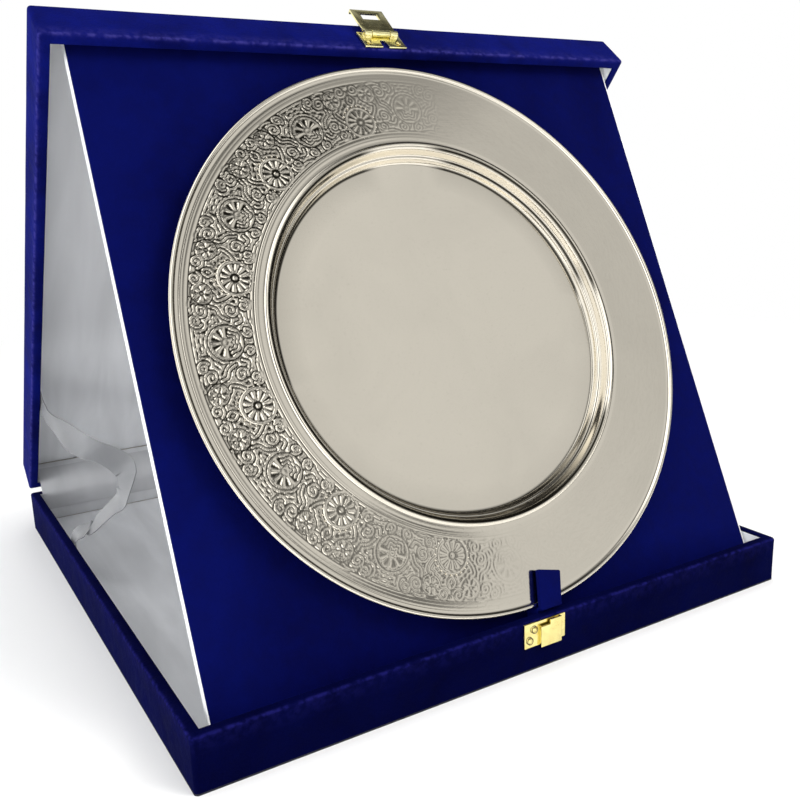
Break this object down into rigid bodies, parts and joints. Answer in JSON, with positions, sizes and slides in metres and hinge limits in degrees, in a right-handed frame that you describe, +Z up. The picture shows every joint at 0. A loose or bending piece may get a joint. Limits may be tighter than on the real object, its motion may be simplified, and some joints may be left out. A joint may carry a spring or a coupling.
{
  "type": "salver in a folding display case",
  "caption": "Round raised-well metal salver standing on the velvet panel of an A-frame presentation case with a hinged lid and a brass clasp.",
  "frame": {"origin": "centre of the case's underside, where the case stands", "axes": "+X to the right seen from the front, +Y to the hinged rear, +Z up"},
  "size_m": [0.296, 0.3166, 0.2749],
  "materials": {
    "salver_metal": "polished silver plate",
    "velvet": "royal blue velvet",
    "satin": "silver-white satin",
    "case_board": "raw fibreboard",
    "panel_card": "raw greyboard",
    "underside_paper": "matt lining cloth",
    "brass": "bright pressed brass"
  },
  "bodies": {
    "base": {"base_floor_board": "case_board", "base_front_wall": "case_board", "base_rear_wall": "case_board", "base_left_wall": "case_board", "base_right_wall": "case_board", "base_underside_sheet": "underside_paper", "base_velvet_cover": "velvet", "panel_hinge_tape": "velvet", "base_floor_lining": "satin", "base_wall_lining": "satin", "ribbon_stay_left": "satin", "ribbon_stay_right": "satin", "catch_plate": "brass", "catch_hook": "brass", "catch_nail_1": "brass", "catch_nail_2": "brass", "hinge_left_base_leaf": "brass", "hinge_left_pin": "brass", "hinge_left_base_nail_1": "brass", "hinge_left_base_nail_2": "brass", "hinge_right_base_leaf": "brass", "hinge_right_pin": "brass", "hinge_right_base_nail_1": "brass", "hinge_right_base_nail_2": "brass"},
    "lid": {"lid_board": "case_board", "lid_front_wall": "case_board", "lid_rear_wall": "case_board", "lid_left_wall": "case_board", "lid_right_wall": "case_board", "lid_velvet_cover": "velvet", "lid_wall_lining": "satin", "lid_lining_pad": "satin", "hasp_plate": "brass", "hasp_nail_1": "brass", "hasp_nail_2": "brass", "hasp_pin": "brass", "hinge_left_lid_leaf": "brass", "hinge_left_lid_nail_1": "brass", "hinge_left_lid_nail_2": "brass", "hinge_right_lid_leaf": "brass", "hinge_right_lid_nail_1": "brass", "hinge_right_lid_nail_2": "brass"},
    "panel": {"panel_velvet_face": "velvet", "keeper_hook": "velvet", "panel_satin_back": "satin", "panel_board": "panel_card"},
    "hasp": {"hasp_flap": "brass"},
    "salver": {"salver": "salver_metal"}
  },
  "joints": [
    {"name": "panel_fold", "type": "hinge", "parent": "base", "child": "panel", "pos_m": [0.0017, -0.1396, 0.0071], "axis": [-1, 0, 0], "range_deg": [0, 65.1], "deforming": ["panel_hinge_tape"]},
    {"name": "lid_open", "type": "hinge", "parent": "base", "child": "lid", "pos_m": [0, 0.1512, 0.022], "axis": [-1, 0, 0], "range_deg": [0, 54], "deforming": ["ribbon_stay_left", "ribbon_stay_right"]},
    {"name": "hasp_swing", "type": "hinge", "parent": "lid", "child": "hasp", "pos_m": [0.0017, -0.03238, 0.26295], "axis": [1, 0, 0], "range_deg": [-2, 171]},
    {"name": "salver_turn", "type": "hinge", "parent": "panel", "child": "salver", "pos_m": [-0.0003, -0.08351, 0.13221], "axis": [0, -0.9077, 0.4197], "continuous": true}
  ],
  "couplings": [
    {"joint": "lid_open", "follows": "panel_fold", "ratio": 0.8285}
  ]
}
